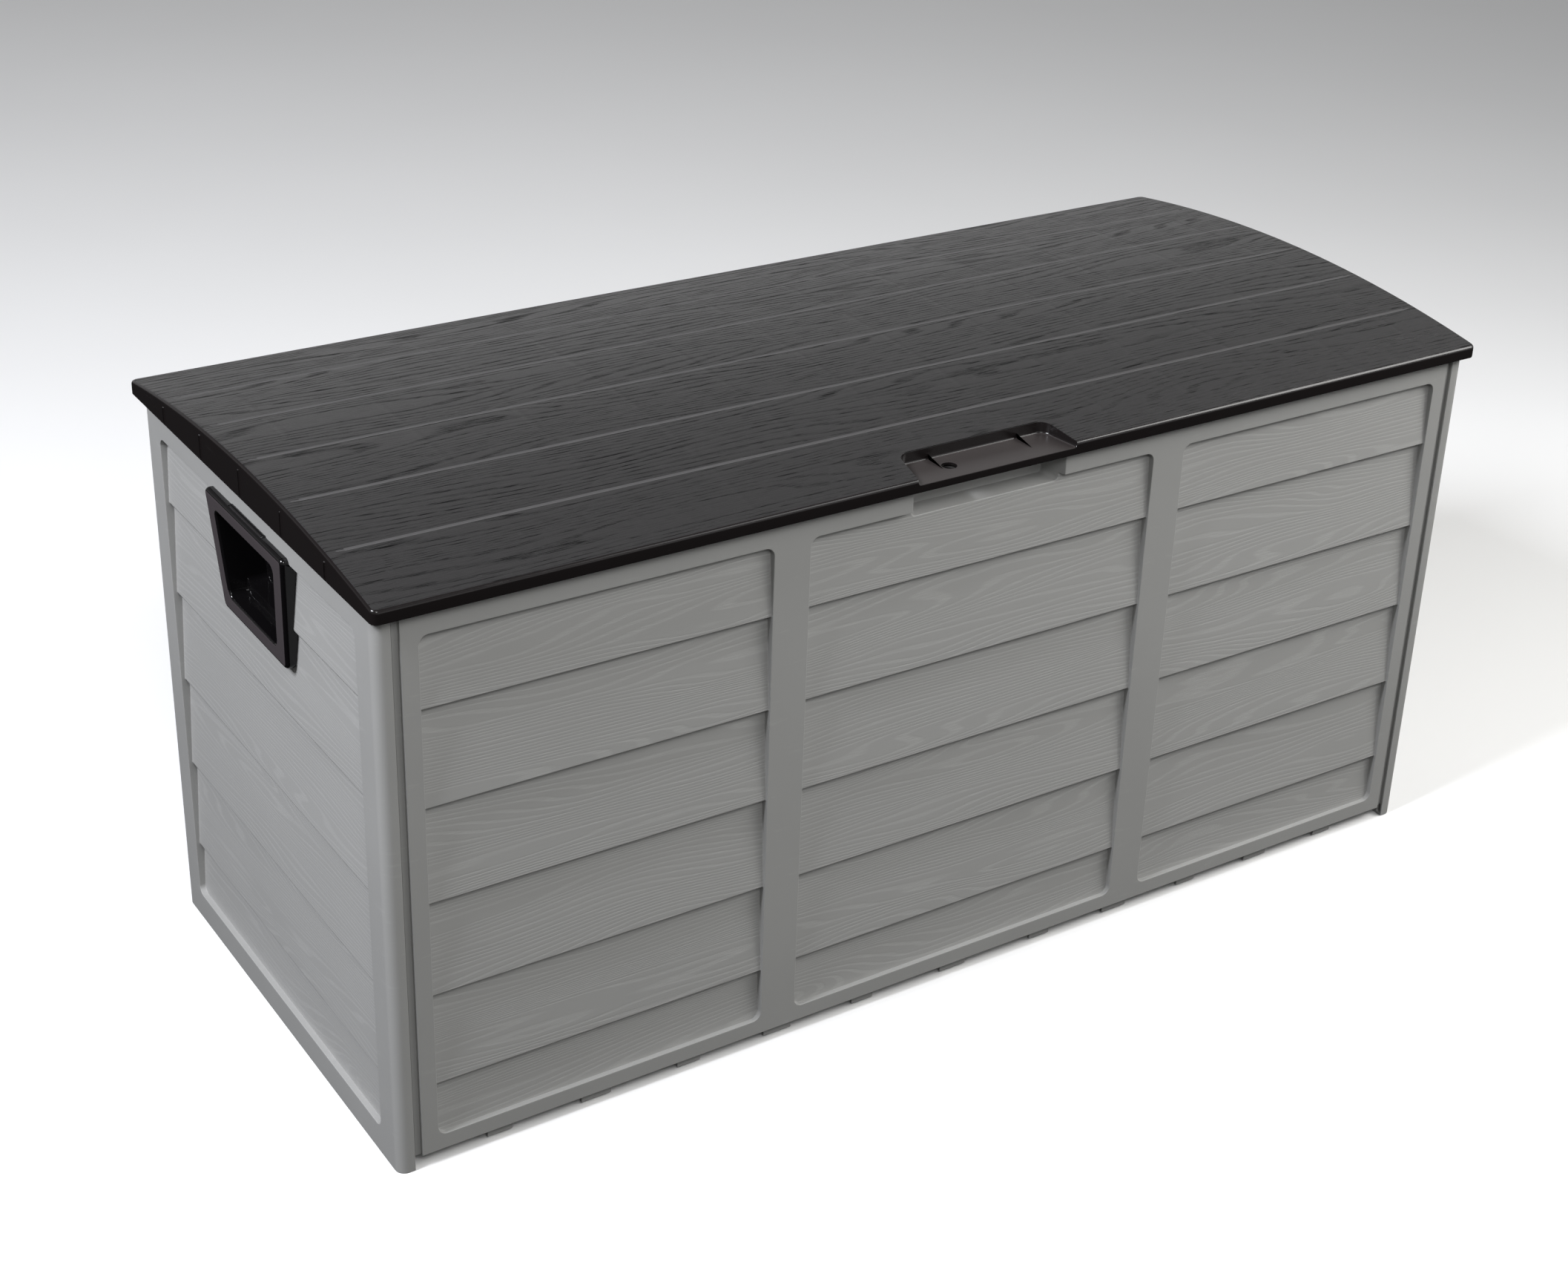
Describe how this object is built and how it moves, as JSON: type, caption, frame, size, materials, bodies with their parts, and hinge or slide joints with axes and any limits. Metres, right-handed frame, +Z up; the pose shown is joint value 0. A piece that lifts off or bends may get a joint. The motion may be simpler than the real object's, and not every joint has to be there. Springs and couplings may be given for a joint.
{
  "type": "deck storage box",
  "caption": "Long outdoor storage box with shiplap panels, a crowned plank lid on rear hinges, recessed carry handles, a finger tray and a padlock hole.",
  "frame": {"origin": "middle of the closed box's footprint, on the ground", "axes": "+X along the front, to the right seen from the front; +Y from the front to the back; +Z up"},
  "size_m": [1.1274, 0.496, 0.54],
  "materials": {
    "grey_polypropylene": "moulded, fine wood grain on the boards, satin frame",
    "grey_polypropylene_floor": "moulded, satin",
    "anthracite_polypropylene": "moulded, wood grain on the top, polished edges",
    "black_polypropylene": "moulded, satin face and polished sides",
    "black_polypropylene_hinge": "moulded, satin",
    "zinc_plated_steel": "zinc plated"
  },
  "bodies": {
    "box": {"front_panel": "grey_polypropylene", "back_panel": "grey_polypropylene", "left_side_panel": "grey_polypropylene", "right_side_panel": "grey_polypropylene", "left_floor_panel": "grey_polypropylene_floor", "right_floor_panel": "grey_polypropylene_floor", "floor_screws": "zinc_plated_steel", "left_handle": "black_polypropylene", "right_handle": "black_polypropylene", "left_handle_screws": "zinc_plated_steel", "right_handle_screws": "zinc_plated_steel", "corner_screws_front_left": "zinc_plated_steel", "corner_screws_front_right": "zinc_plated_steel", "corner_screws_back_left": "zinc_plated_steel", "corner_screws_back_right": "zinc_plated_steel", "body_hinge_leaf_left": "black_polypropylene_hinge", "body_leaf_screws_left": "zinc_plated_steel", "hinge_pin_left": "zinc_plated_steel", "body_hinge_leaf_centre": "black_polypropylene_hinge", "body_leaf_screws_centre": "zinc_plated_steel", "hinge_pin_centre": "zinc_plated_steel", "body_hinge_leaf_right": "black_polypropylene_hinge", "body_leaf_screws_right": "zinc_plated_steel", "hinge_pin_right": "zinc_plated_steel"},
    "lid": {"lid": "anthracite_polypropylene", "lid_hinge_leaf_left": "black_polypropylene_hinge", "lid_leaf_screws_left": "zinc_plated_steel", "lid_hinge_leaf_centre": "black_polypropylene_hinge", "lid_leaf_screws_centre": "zinc_plated_steel", "lid_hinge_leaf_right": "black_polypropylene_hinge", "lid_leaf_screws_right": "zinc_plated_steel"}
  },
  "joints": [
    {"name": "lid_hinge", "type": "hinge", "parent": "box", "child": "lid", "pos_m": [0, 0.2375, 0.507], "axis": [-1, 0, 0], "range_deg": [0, 100]}
  ]
}
